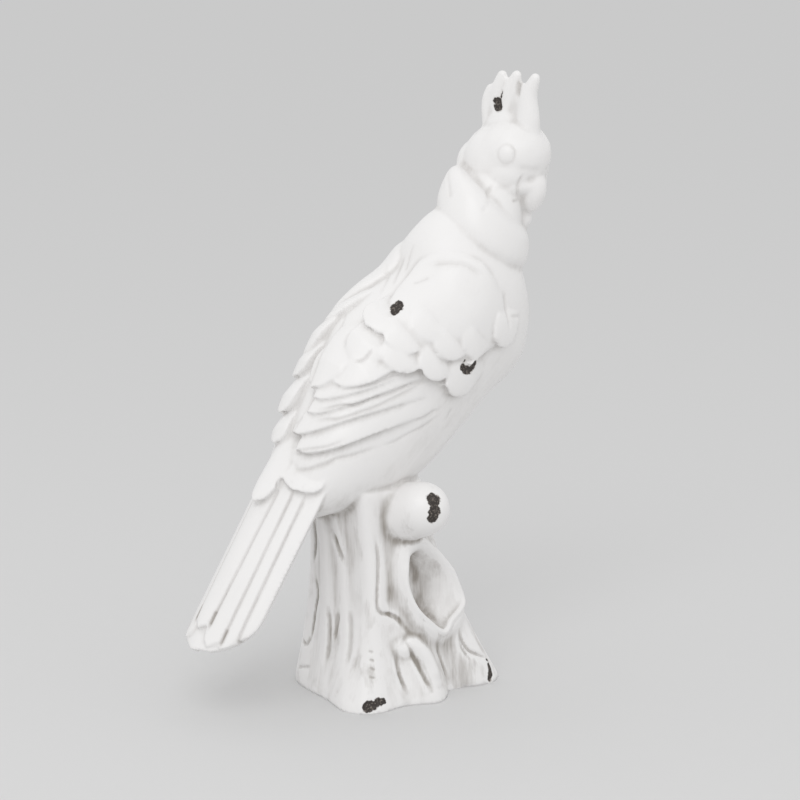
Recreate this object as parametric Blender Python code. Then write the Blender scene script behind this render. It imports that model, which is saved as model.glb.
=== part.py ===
"""A crested parrot perched on a tree stump: one hollow slip-cast ceramic piece, open at a pour hole in its foot."""

import math

import bmesh
import bpy
import numpy as np
from mathutils import Matrix, Vector

for old in list(bpy.data.objects):
    bpy.data.objects.remove(old)

MM = 0.001

# The casting: its wall, the thicker floor of its foot, and the hole that the slip is poured through
WALL = 6 * MM
FOOT_FLOOR = 7 * MM
POUR_HOLE_RADIUS = 19 * MM
POUR_HOLE_SIDES = 40

# The stump's height. The bird, its tail and the stub are placed by their height above the top of the stump
STUMP_HEIGHT = 134 * MM
PERCH = Vector((0, 0, STUMP_HEIGHT))

# How finely the clay is modelled, and the number of facets left in the skin and in the hollow
CLAY_GRAIN = 1.5 * MM
HOLLOW_GRAIN = 4 * MM
SKIN_FACETS = 10300
HOLLOW_FACETS = 900

# The bird's spine, from inside the tail up to the crown: x, height, depth behind, depth in front and half width
# of each section
SPINE = (
    (-82 * MM, -9 * MM, 12 * MM, 12 * MM, 20 * MM),
    (-68 * MM, 3 * MM, 23 * MM, 25 * MM, 30 * MM),
    (-49 * MM, 19 * MM, 34 * MM, 42 * MM, 37 * MM),
    (-25 * MM, 40 * MM, 45 * MM, 54 * MM, 41 * MM),
    (-2 * MM, 62 * MM, 52 * MM, 57 * MM, 43 * MM),
    (18 * MM, 83 * MM, 47 * MM, 60 * MM, 43 * MM),
    (36 * MM, 104 * MM, 38 * MM, 68 * MM, 42 * MM),
    (50 * MM, 123 * MM, 37 * MM, 56 * MM, 39 * MM),
    (61 * MM, 141 * MM, 34 * MM, 35 * MM, 33 * MM),
    (70 * MM, 158 * MM, 25 * MM, 23 * MM, 25 * MM),
    (78 * MM, 175 * MM, 20 * MM, 18 * MM, 20 * MM),
    (85 * MM, 192 * MM, 18 * MM, 16 * MM, 18 * MM),
    (88 * MM, 202 * MM, 12 * MM, 12 * MM, 12 * MM),
)
SPINE_RINGS = 40
RING_POINTS = 40
CAP_RINGS = 5

# Where the hollow starts and ends along the spine, and where the pour hole lies
HOLLOW_PLACES = (0.14, 0.70)
POUR_HOLE_X = -2 * MM

# The head: its centre, the way it is turned, and the radii of the skull forwards, sideways and upwards
HEAD = Vector((87 * MM, -3 * MM, 191 * MM))
HEAD_TURN = -73
SKULL = (26 * MM, 24 * MM, 25.5 * MM)
BROW = (17 * MM, 15 * MM, 16 * MM)
BEAK = (10 * MM, 8.5 * MM, 14 * MM)
EYE_RADIUS = 4.8 * MM

# The ruff, from its lower rim up to the cheeks: distance up the neck and radius of each ring
RUFF_FOOT = Vector((63 * MM, -1 * MM, 143 * MM))
RUFF_TOP = Vector((77 * MM, -2 * MM, 190 * MM))
RUFF = ((0, 27 * MM), (1.5 * MM, 32 * MM), (9 * MM, 34 * MM), (19 * MM, 33.5 * MM), (31 * MM, 31 * MM), (43 * MM, 27 * MM),
        (53 * MM, 21 * MM), (60 * MM, 12 * MM))
RUFF_LEAN = 34

# The crest: each feather's knots in the head's frame (forwards, upwards, radius), hindmost first
CREST = (
    ((-13 * MM, 10 * MM, 5 * MM), (-17 * MM, 25 * MM, 4.4 * MM), (-18 * MM, 36 * MM, 4 * MM), (-16 * MM, 43 * MM, 3 * MM)),
    ((-8 * MM, 12 * MM, 6 * MM), (-10 * MM, 28 * MM, 4.8 * MM), (-9 * MM, 43 * MM, 4.8 * MM), (-6 * MM, 52 * MM, 3.6 * MM)),
    ((-3 * MM, 14 * MM, 6.5 * MM), (-2 * MM, 28 * MM, 5.6 * MM), (0 * MM, 42 * MM, 5 * MM), (5 * MM, 52.5 * MM, 3.8 * MM)),
    ((10 * MM, 12 * MM, 11 * MM), (12 * MM, 26 * MM, 8.4 * MM), (12 * MM, 39 * MM, 6.2 * MM), (17.5 * MM, 51.5 * MM, 3.6 * MM)),
)
CREST_FLATNESS = 0.8

# The wings. A feather is given by the place and angle of its root and of its tip on the bird's skin,
# its half width and how high its tip lies; the angle runs from the middle of the back round either side
WING_RISE = 6 * MM
FEATHER_THICKNESS = 2.8 * MM
FEATHER_TILT = 1.3 * MM
FLIGHT_FEATHERS = (
    (0.34, 97, 0.108, 20, 10.5 * MM, 2 * MM),
    (0.35, 86, 0.133, 8, 9.5 * MM, 3.4 * MM),
    (0.36, 73, 0.176, 17, 8.5 * MM, 4.8 * MM),
    (0.36, 66, 0.199, 17, 8.5 * MM, 6.2 * MM),
    (0.37, 55, 0.233, 28, 9.5 * MM, 7.6 * MM),
    (0.36, 12, 0.210, 12, 10 * MM, 7 * MM),
)
COVERTS = (
    (0.45, 104, 0.350, 93, 12 * MM, 5 * MM),
    (0.42, 78, 0.340, 68, 10 * MM, 8 * MM),
    (0.40, 57, 0.308, 48, 10 * MM, 8.8 * MM),
    (0.39, 32, 0.284, 28, 10.5 * MM, 8.4 * MM),
    (0.50, 92, 0.422, 84, 10 * MM, 7.6 * MM),
    (0.47, 78, 0.385, 70, 9.5 * MM, 9 * MM),
    (0.43, 50, 0.338, 41, 9.5 * MM, 9.8 * MM),
    (0.44, 30, 0.345, 26, 10 * MM, 9.4 * MM),
    (0.56, 106, 0.478, 101, 10 * MM, 6 * MM),
    (0.49, 60, 0.390, 48, 11 * MM, 9.6 * MM),
)
# The feathers of the left wing that overlap along the middle of the back, lowest first
SCAPULARS = (
    (0.20, -24, 0.104, -15, 10 * MM, 3 * MM),
    (0.26, -24, 0.160, -21, 10.5 * MM, 5 * MM),
    (0.32, -24, 0.222, -24, 11 * MM, 7 * MM),
    (0.38, -24, 0.268, -26, 11 * MM, 8 * MM),
    (0.45, -22, 0.335, -17, 11 * MM, 6 * MM),
)

# The tail: where it leaves the back, its slope, and the feathers of one side from the middle one outwards:
# side at the root, side at the end, half width at the root, half width at the end, length
TAIL_ROOT = Vector((-86 * MM, 3 * MM, 15.5 * MM))
TAIL_SLOPE = 58
TAIL_THICKNESS = 9 * MM
TAIL_ROOF_DROP = 14 * MM
TAIL_LENGTH = 119 * MM
TAIL_HALF_WIDTH = 30 * MM
TAIL_SLAB = 30.5 * MM
TAIL_FEATHERS = (
    (0, 0, 10 * MM, 8 * MM, 107 * MM),
    (12 * MM, 12 * MM, 6.5 * MM, 7 * MM, 115 * MM),
    (18.5 * MM, 19.5 * MM, 6.5 * MM, 6.5 * MM, 113 * MM),
    (26 * MM, 26 * MM, 7 * MM, 6.5 * MM, 103 * MM),
)

# The coverts that close over the root of the tail: side, half width, where the root and the tip lie, lift
TAIL_COVERTS = (
    (-20 * MM, 10 * MM, -30 * MM, 12 * MM, 0 * MM),
    (21 * MM, 11.5 * MM, -30 * MM, 14 * MM, 0 * MM),
    (2 * MM, 10 * MM, -38 * MM, 30 * MM, 2.5 * MM),
)

# The stump: the radius of the trunk at its foot and at its top, and how far its top leans back
TRUNK_FOOT_RADIUS = 48 * MM
TRUNK_TOP_RADIUS = 41 * MM
TRUNK_LEAN = -24 * MM
TRUNK_RINGS = 30
TRUNK_POINTS = 96
# Roots: the way each points, how far it reaches, its half spread, and how high it climbs the trunk
ROOTS = (
    (148, 25 * MM, 19, 50 * MM),
    (183, 18 * MM, 17, 40 * MM),
    (217, 33 * MM, 18, 34 * MM),
    (258, 20 * MM, 14, 30 * MM),
    (322, 31 * MM, 17, 62 * MM),
    (10, 19 * MM, 19, 34 * MM),
    (57, 22 * MM, 18, 32 * MM),
    (102, 17 * MM, 17, 34 * MM),
)
# Ridges of bark: the way each points at the foot and at the top, its rise and its half spread
RIDGES = (
    (219, 221, 6 * MM, 10),
    (256, 238, 5 * MM, 9),
    (184, 180, 4 * MM, 9),
    (150, 152, 4 * MM, 10),
    (302, 298, 4 * MM, 11),
    (14, 20, 3 * MM, 11),
    (60, 56, 3 * MM, 12),
    (104, 100, 3 * MM, 11),
)

# The sawn stub of a branch and the knot hole under it
STUB_ROOT = Vector((-16 * MM, 0, -22 * MM))
STUB_END = Vector((-9 * MM, -43 * MM, -12 * MM))
STUB_RADIUS = 17 * MM
KNOT = Vector((-3 * MM, -42 * MM, 68 * MM))
KNOT_WAY = 276
KNOT_HALF_WIDTH = 19 * MM
KNOT_HALF_HEIGHT = 23 * MM
KNOT_RIM = 4 * MM
KNOT_DEPTH = 13 * MM


def through(stations, place):
    """The stations' values at a place from 0 to 1, on a smooth curve that runs through them all."""
    table = np.asarray(stations, float)
    at = min(max(place, 0.0), 1.0) * (len(table) - 1)
    i = min(int(at), len(table) - 2)
    f = at - i
    before = table[i - 1] if i > 0 else 2 * table[0] - table[1]
    after = table[i + 2] if i + 2 < len(table) else 2 * table[-1] - table[-2]
    a, b = table[i], table[i + 1]
    return 0.5 * (2 * a + (b - before) * f + (2 * before - 5 * a + 4 * b - after) * f**2
                  + (3 * a - before - 3 * b + after) * f**3)


def mesh_object(name, points, faces):
    mesh = bpy.data.meshes.new(name)
    mesh.from_pydata([tuple(p) for p in points], [], faces)
    mesh.update()
    made = bpy.data.objects.new(name, mesh)
    bpy.context.scene.collection.objects.link(made)
    return made


def closed_loft(name, rings):
    """A closed body skinned over rings that have equal numbers of points, with a flat cap at each end."""
    count = len(rings[0])
    points = [p for ring in rings for p in ring]
    faces = []
    for r in range(len(rings) - 1):
        for i in range(count):
            j = (i + 1) % count
            faces.append((r * count + i, r * count + j, (r + 1) * count + j, (r + 1) * count + i))
    faces.append(tuple(reversed(range(count))))
    last = (len(rings) - 1) * count
    faces.append(tuple(last + i for i in range(count)))
    return mesh_object(name, points, faces)


def ball(name, centre, radii, axes=None):
    """An ellipsoid with its three radii along the given axes."""
    turn = Matrix.Identity(3) if axes is None else Matrix(axes).transposed()
    place = Matrix.Translation(centre) @ turn.to_4x4() @ Matrix.Diagonal((*radii, 1))
    bm = bmesh.new()
    bmesh.ops.create_uvsphere(bm, u_segments=36, v_segments=20, radius=1.0, matrix=place)
    mesh = bpy.data.meshes.new(name)
    bm.to_mesh(mesh)
    bm.free()
    made = bpy.data.objects.new(name, mesh)
    bpy.context.scene.collection.objects.link(made)
    return made


def limb(name, knots, side, flatness=1.0, rings=18, around=20):
    """A round-ended limb through knots of (point, radius), its section flattened along the side."""
    path = [(*point, radius) for point, radius in knots]
    loops = []
    for r in range(rings + 1):
        place = r / rings
        x, y, z, radius = through(path, place)
        here = Vector((x, y, z))
        ahead = Vector(through(path, min(place + 0.02, 1.0))[:3]) - Vector(through(path, max(place - 0.02, 0.0))[:3])
        ahead.normalize()
        across = ahead.cross(side).normalized()
        own_side = across.cross(ahead)
        loops.append((here, ahead, across, own_side, radius))
    closed = []
    for k in range(CAP_RINGS):
        angle = 0.5 * math.pi * (k + 0.2) / CAP_RINGS
        here, ahead, across, own_side, radius = loops[0]
        closed.append((here - ahead * radius * math.cos(angle), across, own_side, radius * math.sin(angle)))
    closed += [(here, across, own_side, radius) for here, ahead, across, own_side, radius in loops]
    for k in reversed(range(CAP_RINGS)):
        angle = 0.5 * math.pi * (k + 0.2) / CAP_RINGS
        here, ahead, across, own_side, radius = loops[-1]
        closed.append((here + ahead * radius * math.cos(angle), across, own_side, radius * math.sin(angle)))
    skins = []
    for here, across, own_side, radius in closed:
        ring = []
        for i in range(around):
            a = 2 * math.pi * i / around
            ring.append(here + across * radius * math.cos(a) + own_side * radius * flatness * math.sin(a))
        skins.append(ring)
    return closed_loft(name, skins)


def spine_frame(place):
    """Centre, backward normal, depth behind, depth in front and half width of the bird at a place on its spine."""
    x, z, behind, front, wide = through(SPINE, place)
    reach = 0.01
    before, after = through(SPINE, place - reach), through(SPINE, place + reach)
    along = Vector((after[0] - before[0], 0, after[1] - before[1])).normalized()
    back = Vector((-along.z, 0, along.x))
    return PERCH + Vector((x, 0, z)), back, behind, front, wide


def on_body(place, angle, lift=0.0):
    """A point on the bird's skin. The angle runs from the middle of the back, positive round its right side."""
    centre, back, behind, front, wide = spine_frame(place)
    c, s = math.cos(angle), math.sin(angle)
    deep = behind if c > 0 else front
    skin = back * (deep * c) + Vector((0, -wide * s, 0))
    out = (back * (c / deep) + Vector((0, -s / wide, 0))).normalized()
    return centre + skin + out * lift


def feather_width(t, shoulder, taper):
    """Half width along a feather as a share of its widest: rounded at the tip, and at the root if it has a shoulder."""
    share = 1.0
    if t > taper:
        share = math.sqrt(max(0.0, 1 - ((t - taper) / (1 - taper)) ** 2))
    if shoulder and t < shoulder:
        share = min(share, math.sqrt(max(0.0, 1 - ((shoulder - t) / shoulder) ** 2)))
    return max(share, 0.03)


def plate(name, spot, top, bottom, along=18, across=10):
    """A closed plate over a grid: spot(t, u, lift) gives its points, top(t, u) its upper face, bottom its lower one."""
    points = []
    faces = []
    row = across + 1
    for layer in (0, 1):
        for i in range(along + 1):
            for j in range(row):
                t, u = i / along, 2 * j / across - 1
                points.append(spot(t, u, bottom(t, u) if layer == 0 else top(t, u)))
    sheet = (along + 1) * row
    for i in range(along):
        for j in range(across):
            a, b, c, d = i * row + j, i * row + j + 1, (i + 1) * row + j + 1, (i + 1) * row + j
            faces.append((a, b, c, d))
            faces.append((sheet + a, sheet + d, sheet + c, sheet + b))
    rim = ([j for j in range(row)] + [i * row + across for i in range(1, along + 1)]
           + [along * row + j for j in reversed(range(across))] + [i * row for i in reversed(range(1, along))])
    for k, a in enumerate(rim):
        b = rim[(k + 1) % len(rim)]
        faces.append((b, a, sheet + a, sheet + b))
    made = mesh_object(name, points, faces)
    bm = bmesh.new()
    bm.from_mesh(made.data)
    bmesh.ops.recalc_face_normals(bm, faces=bm.faces)
    bm.to_mesh(made.data)
    bm.free()
    return made


def body_feather(name, root, tip, half_width, tip_lift, thickness=FEATHER_THICKNESS, shoulder=0.0, taper=0.6,
                 root_lift=-1 * MM, edge=0.7, sink=5 * MM, bow=0.0, tilt=0.0):
    """A feather laid on the bird's skin from its root to its tip, crowned across, with a ledge at its edge and tip."""
    centres = []
    steps = 18
    for i in range(steps + 1):
        t = i / steps
        place = root[0] + (tip[0] - root[0]) * t
        angle = math.radians(root[1] + (tip[1] - root[1]) * t + bow * 4 * t * (1 - t))
        step = 0.004
        by_place = (on_body(place + step, angle) - on_body(place - step, angle)) / (2 * step)
        by_angle = (on_body(place, angle + step) - on_body(place, angle - step)) / (2 * step)
        centres.append((place, angle, by_place, by_angle))
    sides = []
    for i in range(steps + 1):
        place, angle, by_place, by_angle = centres[i]
        after, before = centres[min(i + 1, steps)], centres[max(i - 1, 0)]
        ahead = on_body(after[0], after[1]) - on_body(before[0], before[1])
        out = by_place.cross(by_angle).normalized()
        across = out.cross(ahead).normalized()
        a, b, c = by_place.dot(by_place), by_place.dot(by_angle), by_angle.dot(by_angle)
        d, e = by_place.dot(across), by_angle.dot(across)
        det = a * c - b * b
        by_side = Vector(((c * d - b * e) / det, (a * e - b * d) / det))
        if by_side.y * (root[1] + tip[1]) < 0:
            by_side.negate()
        sides.append(by_side)

    def spot(t, u, lift):
        i = min(int(round(t * steps)), steps)
        place, angle = centres[i][:2]
        reach = u * half_width * feather_width(t, shoulder, taper)
        return on_body(place + sides[i][0] * reach, angle + sides[i][1] * reach, lift)

    def top(t, u):
        base = root_lift + (tip_lift - root_lift) * min(1.0, t * 1.5) ** 0.8
        return base + thickness * (edge + (1 - edge) * (1 - abs(u) ** 2.5)) + tilt * u

    def bottom(t, u):
        return -sink

    return plate(name, spot, top, bottom, along=steps)


def body():
    rings = []
    for r in range(SPINE_RINGS + 1):
        rings.append([on_body(r / SPINE_RINGS, 2 * math.pi * i / RING_POINTS) for i in range(RING_POINTS)])
    return closed_loft("body", rings)


def head_axes():
    turn = math.radians(HEAD_TURN)
    ahead = Vector((math.cos(turn), math.sin(turn), 0))
    right = Vector((math.sin(turn), -math.cos(turn), 0))
    return ahead, right, Vector((0, 0, 1))


def in_head(forwards, right, up):
    ahead, side, top = head_axes()
    return PERCH + HEAD + ahead * forwards + side * right + top * up


def ruff():
    """The ring of neck feathers that hangs over the shoulders like a short cape."""
    axis = RUFF_TOP - RUFF_FOOT
    length = axis.length
    rings = []
    for up, radius in RUFF:
        centre = PERCH + RUFF_FOOT + axis * (up / length)
        lean = math.radians(RUFF_LEAN * (1 - 0.6 * up / length))
        low = Vector((math.cos(math.radians(-25)), math.sin(math.radians(-25)), 0))
        flat = Vector((-low.y, low.x, 0))
        down = low * math.cos(lean) - Vector((0, 0, 1)) * math.sin(lean)
        rings.append([centre + down * radius * math.cos(2 * math.pi * i / 36) + flat * radius * math.sin(2 * math.pi * i / 36)
                      for i in range(36)])
    return closed_loft("ruff", rings)


def head():
    ahead, side, top = head_axes()
    axes = (ahead, side, top)
    pieces = [
        ball("skull", in_head(0, 0, 0), SKULL, axes),
        ball("brow", in_head(10.5 * MM, 0, 3 * MM), BROW, axes),
        ball("beak", in_head(16 * MM, 0, -18 * MM), BEAK, axes),
        ball("chin", in_head(12 * MM, 0, -25 * MM), (7 * MM, 7 * MM, 6 * MM), axes),
    ]
    for way in (-1, 1):
        pieces.append(ball("cheek", in_head(5 * MM, way * 9 * MM, -9 * MM), (19 * MM, 14.5 * MM, 14 * MM), axes))
    return pieces


def eyes():
    pieces = []
    for way in (-1, 1):
        centre = in_head(13.5 * MM, way * 20.6 * MM, 3 * MM)
        out = (centre - in_head(0, way * 3 * MM, 0)).normalized()
        turn = out.to_track_quat("Z", "Y").to_matrix().to_4x4()
        bpy.ops.mesh.primitive_torus_add(major_radius=EYE_RADIUS, minor_radius=1.4 * MM, major_segments=28, minor_segments=10)
        ring = bpy.context.object
        ring.name = "eyelid"
        ring.data.transform(Matrix.Translation(centre) @ turn)
        pieces.append(ring)
        pieces.append(ball("eyeball", centre - out * 2.2 * MM, (4.2 * MM, 4.2 * MM, 3.2 * MM),
                           (turn.col[0].xyz, turn.col[1].xyz, turn.col[2].xyz)))
    return pieces


def crest():
    ahead, side, top = head_axes()
    pieces = []
    for i, knots in enumerate(CREST):
        path = [(in_head(forwards, 0, up), radius) for forwards, up, radius in knots]
        pieces.append(limb("crest_%d" % i, path, side, CREST_FLATNESS))
    return pieces


def wing(way):
    """One folded wing: a shoulder that swells over the ribs, its flight feathers, and the coverts over their roots."""
    pieces = [body_feather("wing_mass", (0.60, way * 72), (0.36, way * 46), 33 * MM, WING_RISE, thickness=2 * MM,
                           shoulder=0.45, taper=0.5, root_lift=3 * MM, edge=-1.0)]
    for feathers, tilt in ((FLIGHT_FEATHERS, FEATHER_TILT), (COVERTS, 0.0)):
        for root_place, root_angle, tip_place, tip_angle, half_width, lift in feathers:
            pieces.append(body_feather("feather", (root_place, way * root_angle), (tip_place, way * tip_angle),
                                       half_width, lift, bow=way * 3, tilt=tilt))
    return pieces


def scapulars():
    pieces = []
    for root_place, root_angle, tip_place, tip_angle, half_width, lift in SCAPULARS:
        pieces.append(body_feather("scapular", (root_place, root_angle), (tip_place, tip_angle), half_width, lift))
    return pieces


def on_tail(along, side, lift):
    slope = math.radians(TAIL_SLOPE)
    down = Vector((-math.cos(slope), 0, -math.sin(slope)))
    out = Vector((-math.sin(slope), 0, math.cos(slope)))
    drop = TAIL_ROOF_DROP * (abs(side) / TAIL_HALF_WIDTH) ** 1.7
    return PERCH + TAIL_ROOT + down * along - Vector((0, side, 0)) + out * (lift - drop)


def tail():
    pieces = []
    start = -12 * MM
    for number, (root_side, end_side, root_half, end_half, length) in enumerate(TAIL_FEATHERS):
        for way in ((1,) if number == 0 else (-1, 1)):
            def spot(t, u, lift, way=way, a=root_side, b=end_side, ha=root_half, hb=end_half, long=length):
                side = way * (a + (b - a) * t) + u * (ha + (hb - ha) * t) * feather_width(t, 0, 0.9)
                return on_tail(start + (long - start) * t, side, lift)

            def top(t, u, number=number):
                return -1.4 * MM * number - 0.9 * MM * abs(u) ** 3

            def bottom(t, u):
                return -TAIL_THICKNESS

            pieces.append(plate("tail_feather", spot, top, bottom, along=24, across=8))

    def slab_spot(t, u, lift):
        return on_tail(start + (TAIL_LENGTH - start) * t, u * TAIL_SLAB * feather_width(t, 0, 0.72), lift)

    pieces.append(plate("tail_slab", slab_spot, lambda t, u: -3.5 * MM, lambda t, u: -TAIL_THICKNESS, along=24, across=12))
    return pieces


def tail_coverts():
    pieces = []
    for side, half_width, root, tip, lift in TAIL_COVERTS:
        def spot(t, u, raised, side=side, half_width=half_width, root=root, tip=tip):
            return on_tail(root + (tip - root) * t, side + u * half_width * feather_width(t, 0, 0.75), raised)

        def top(t, u, lift=lift):
            return lift + 3 * MM * (1 - 0.4 * abs(u) ** 2.5) - 4 * MM * (1 - t)

        pieces.append(plate("tail_covert", spot, top, lambda t, u: -8 * MM))
    return pieces


def trunk_radius(angle, height):
    """The stump's radius, with its roots flaring towards the foot and its ridges of bark."""
    share = height / STUMP_HEIGHT
    degrees = math.degrees(angle)
    radius = TRUNK_FOOT_RADIUS + (TRUNK_TOP_RADIUS - TRUNK_FOOT_RADIUS) * min(max(share, 0) * 1.4, 1.0)
    for way, reach, spread, climb in ROOTS:
        off = (degrees - way + 180) % 360 - 180
        radius += reach * math.exp(-(off / spread) ** 2) * math.exp(-(max(height, 0) / climb) ** 1.2)
    for foot_way, top_way, rise, spread in RIDGES:
        off = (degrees - (foot_way + (top_way - foot_way) * share) + 180) % 360 - 180
        radius += rise * (math.exp(-(off / spread) ** 2) - 0.35)
    return radius


def stump(inset=0.0, foot=-6 * MM, name="stump"):
    rings = []
    for r in range(TRUNK_RINGS + 1):
        height = foot + (STUMP_HEIGHT - foot) * r / TRUNK_RINGS
        x = TRUNK_LEAN * height / STUMP_HEIGHT
        ring = []
        for i in range(TRUNK_POINTS):
            angle = 2 * math.pi * i / TRUNK_POINTS
            radius = trunk_radius(angle, height) - inset
            ring.append(Vector((x + radius * math.cos(angle), radius * math.sin(angle), height)))
        rings.append(ring)
    return closed_loft(name, rings)


def knot_axes():
    way = math.radians(KNOT_WAY)
    return Vector((-math.sin(way), math.cos(way), 0)), Vector((math.cos(way), math.sin(way), 0)), Vector((0, 0, 1))


def knot():
    """The raised lip that has healed over round the knot hole."""
    side, out, top = knot_axes()
    rings = []
    for i in range(40):
        a = 2 * math.pi * i / 40
        radial = side * math.cos(a) + top * math.sin(a)
        centre = KNOT + side * KNOT_HALF_WIDTH * math.cos(a) + top * KNOT_HALF_HEIGHT * math.sin(a)
        rings.append([centre + (radial * math.cos(2 * math.pi * k / 12) + out * math.sin(2 * math.pi * k / 12)) * KNOT_RIM
                      for k in range(12)])
    points = [p for ring in rings for p in ring]
    faces = [(i * 12 + k, ((i + 1) % 40) * 12 + k, ((i + 1) % 40) * 12 + (k + 1) % 12, i * 12 + (k + 1) % 12)
             for i in range(40) for k in range(12)]
    made = mesh_object("knot", points, faces)
    bm = bmesh.new()
    bm.from_mesh(made.data)
    bmesh.ops.recalc_face_normals(bm, faces=bm.faces)
    bm.to_mesh(made.data)
    bm.free()
    return made


def knot_mound():
    """The swollen wood that carries the lip."""
    side, out, top = knot_axes()
    return ball("mound", KNOT - out * KNOT_DEPTH, (KNOT_HALF_WIDTH + KNOT_RIM, KNOT_DEPTH, KNOT_HALF_HEIGHT + KNOT_RIM),
                (side, out, top))


def knot_recess(grown=0.0):
    """The blind hollow of the knot hole."""
    side, out, top = knot_axes()
    return ball("knot_recess", KNOT + out * KNOT_RIM, (KNOT_HALF_WIDTH - 0.5 * KNOT_RIM + grown,
                KNOT_DEPTH + KNOT_RIM + grown, KNOT_HALF_HEIGHT - 0.5 * KNOT_RIM + grown), (side, out, top))


def joined(name, pieces):
    """One object that holds the meshes of all the pieces."""
    bm = bmesh.new()
    for piece in pieces:
        bm.from_mesh(piece.data)
        bpy.data.objects.remove(piece)
    mesh = bpy.data.meshes.new(name)
    bm.to_mesh(mesh)
    bm.free()
    made = bpy.data.objects.new(name, mesh)
    bpy.context.scene.collection.objects.link(made)
    return made


def apply(piece, kind, **settings):
    modifier = piece.modifiers.new(kind, kind)
    for key, value in settings.items():
        setattr(modifier, key, value)
    bpy.context.view_layer.objects.active = piece
    bpy.ops.object.modifier_apply(modifier=modifier.name)


def largest_shell(piece):
    """Keeps only the largest connected shell of a mesh."""
    bm = bmesh.new()
    bm.from_mesh(piece.data)
    left = set(bm.verts)
    shells = []
    while left:
        start = left.pop()
        shell = {start}
        front = [start]
        while front:
            here = front.pop()
            for edge in here.link_edges:
                other = edge.other_vert(here)
                if other not in shell:
                    shell.add(other)
                    front.append(other)
        left -= shell
        shells.append(shell)
    shells.sort(key=len)
    for shell in shells[:-1]:
        bmesh.ops.delete(bm, geom=list(shell), context="VERTS")
    bm.to_mesh(piece.data)
    bm.free()


def thin_out(piece, facets):
    count = sum(len(face.vertices) - 2 for face in piece.data.polygons)
    apply(piece, "DECIMATE", ratio=min(1.0, facets / count), use_collapse_triangulate=True)


def block(name, low, high):
    bm = bmesh.new()
    size = high - low
    place = Matrix.Translation((low + high) / 2) @ Matrix.Diagonal((*size, 1))
    bmesh.ops.create_cube(bm, size=1.0, matrix=place)
    mesh = bpy.data.meshes.new(name)
    bm.to_mesh(mesh)
    bm.free()
    made = bpy.data.objects.new(name, mesh)
    bpy.context.scene.collection.objects.link(made)
    return made


def carve(piece, tool):
    """Takes the tool out of the piece."""
    apply(piece, "BOOLEAN", operation="DIFFERENCE", solver="EXACT", object=tool)
    bpy.data.objects.remove(tool)


def clay():
    """The modelled figure before it is hollowed."""
    mass = joined("mass", [body(), ruff(), stump(), knot_mound()] + head()
                  + [limb("stub", ((PERCH + STUB_ROOT, STUB_RADIUS), (PERCH + STUB_END, STUB_RADIUS)), Vector((0, 0, 1)))])
    apply(mass, "REMESH", mode="VOXEL", voxel_size=CLAY_GRAIN)
    apply(mass, "SMOOTH", factor=0.5, iterations=4)
    carve(mass, knot_recess())
    pieces = [mass, knot()] + crest() + eyes() + wing(1) + wing(-1) + scapulars() + tail() + tail_coverts()
    figure = joined("bird_figurine", pieces)
    apply(figure, "REMESH", mode="VOXEL", voxel_size=CLAY_GRAIN)
    apply(figure, "SMOOTH", factor=0.5, iterations=1)
    largest_shell(figure)
    return figure


def hollow():
    """The space that the slip was poured out of, from the floor of the foot up into the breast."""
    rings = []
    first, last = HOLLOW_PLACES
    for r in range(SPINE_RINGS + 1):
        place = first + (last - first) * r / SPINE_RINGS
        rings.append([on_body(place, 2 * math.pi * i / RING_POINTS, -WALL) for i in range(RING_POINTS)])
    space = joined("hollow", [closed_loft("hollow_body", rings), stump(WALL, FOOT_FLOOR, "hollow_stump")])
    apply(space, "REMESH", mode="VOXEL", voxel_size=HOLLOW_GRAIN)
    carve(space, knot_recess(WALL))
    apply(space, "SMOOTH", factor=0.5, iterations=3)
    largest_shell(space)
    thin_out(space, HOLLOW_FACETS)
    return space


def glaze():
    material = bpy.data.materials.new("white_glaze")
    material.use_nodes = True
    shader = material.node_tree.nodes["Principled BSDF"]
    shader.inputs["Base Color"].default_value = (0.80, 0.78, 0.75, 1)
    shader.inputs["Roughness"].default_value = 0.3
    shader.inputs["Coat Weight"].default_value = 0.4
    return material


def main():
    """Builds the figurine and returns how far it was moved to stand with the middle of its box over the origin."""
    figure = clay()
    thin_out(figure, SKIN_FACETS)
    low = Vector([min(v.co[k] for v in figure.data.vertices) for k in range(3)])
    high = Vector([max(v.co[k] for v in figure.data.vertices) for k in range(3)])
    margin = Vector((CLAY_GRAIN, CLAY_GRAIN, CLAY_GRAIN))
    carve(figure, block("below_the_foot", low - margin, Vector((high.x, high.y, 0)) + Vector((CLAY_GRAIN, CLAY_GRAIN, 0))))
    carve(figure, hollow())
    bpy.ops.mesh.primitive_cylinder_add(vertices=POUR_HOLE_SIDES, radius=POUR_HOLE_RADIUS, depth=4 * FOOT_FLOOR,
                                        location=(POUR_HOLE_X, 0, 0))
    carve(figure, bpy.context.object)
    low = Vector([min(v.co[k] for v in figure.data.vertices) for k in range(3)])
    high = Vector([max(v.co[k] for v in figure.data.vertices) for k in range(3)])
    shift = Vector((-(low.x + high.x) / 2, -(low.y + high.y) / 2, 0))
    figure.data.transform(Matrix.Translation(shift))
    figure.data.materials.append(glaze())
    return shift


SHIFT = main()
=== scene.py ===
"""The looks of a crested parrot on a tree stump, slip-cast, glazed, rubbed with a brown wash and chipped."""

import math

import bmesh
import bpy
import numpy as np
from mathutils import Matrix, Vector


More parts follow.
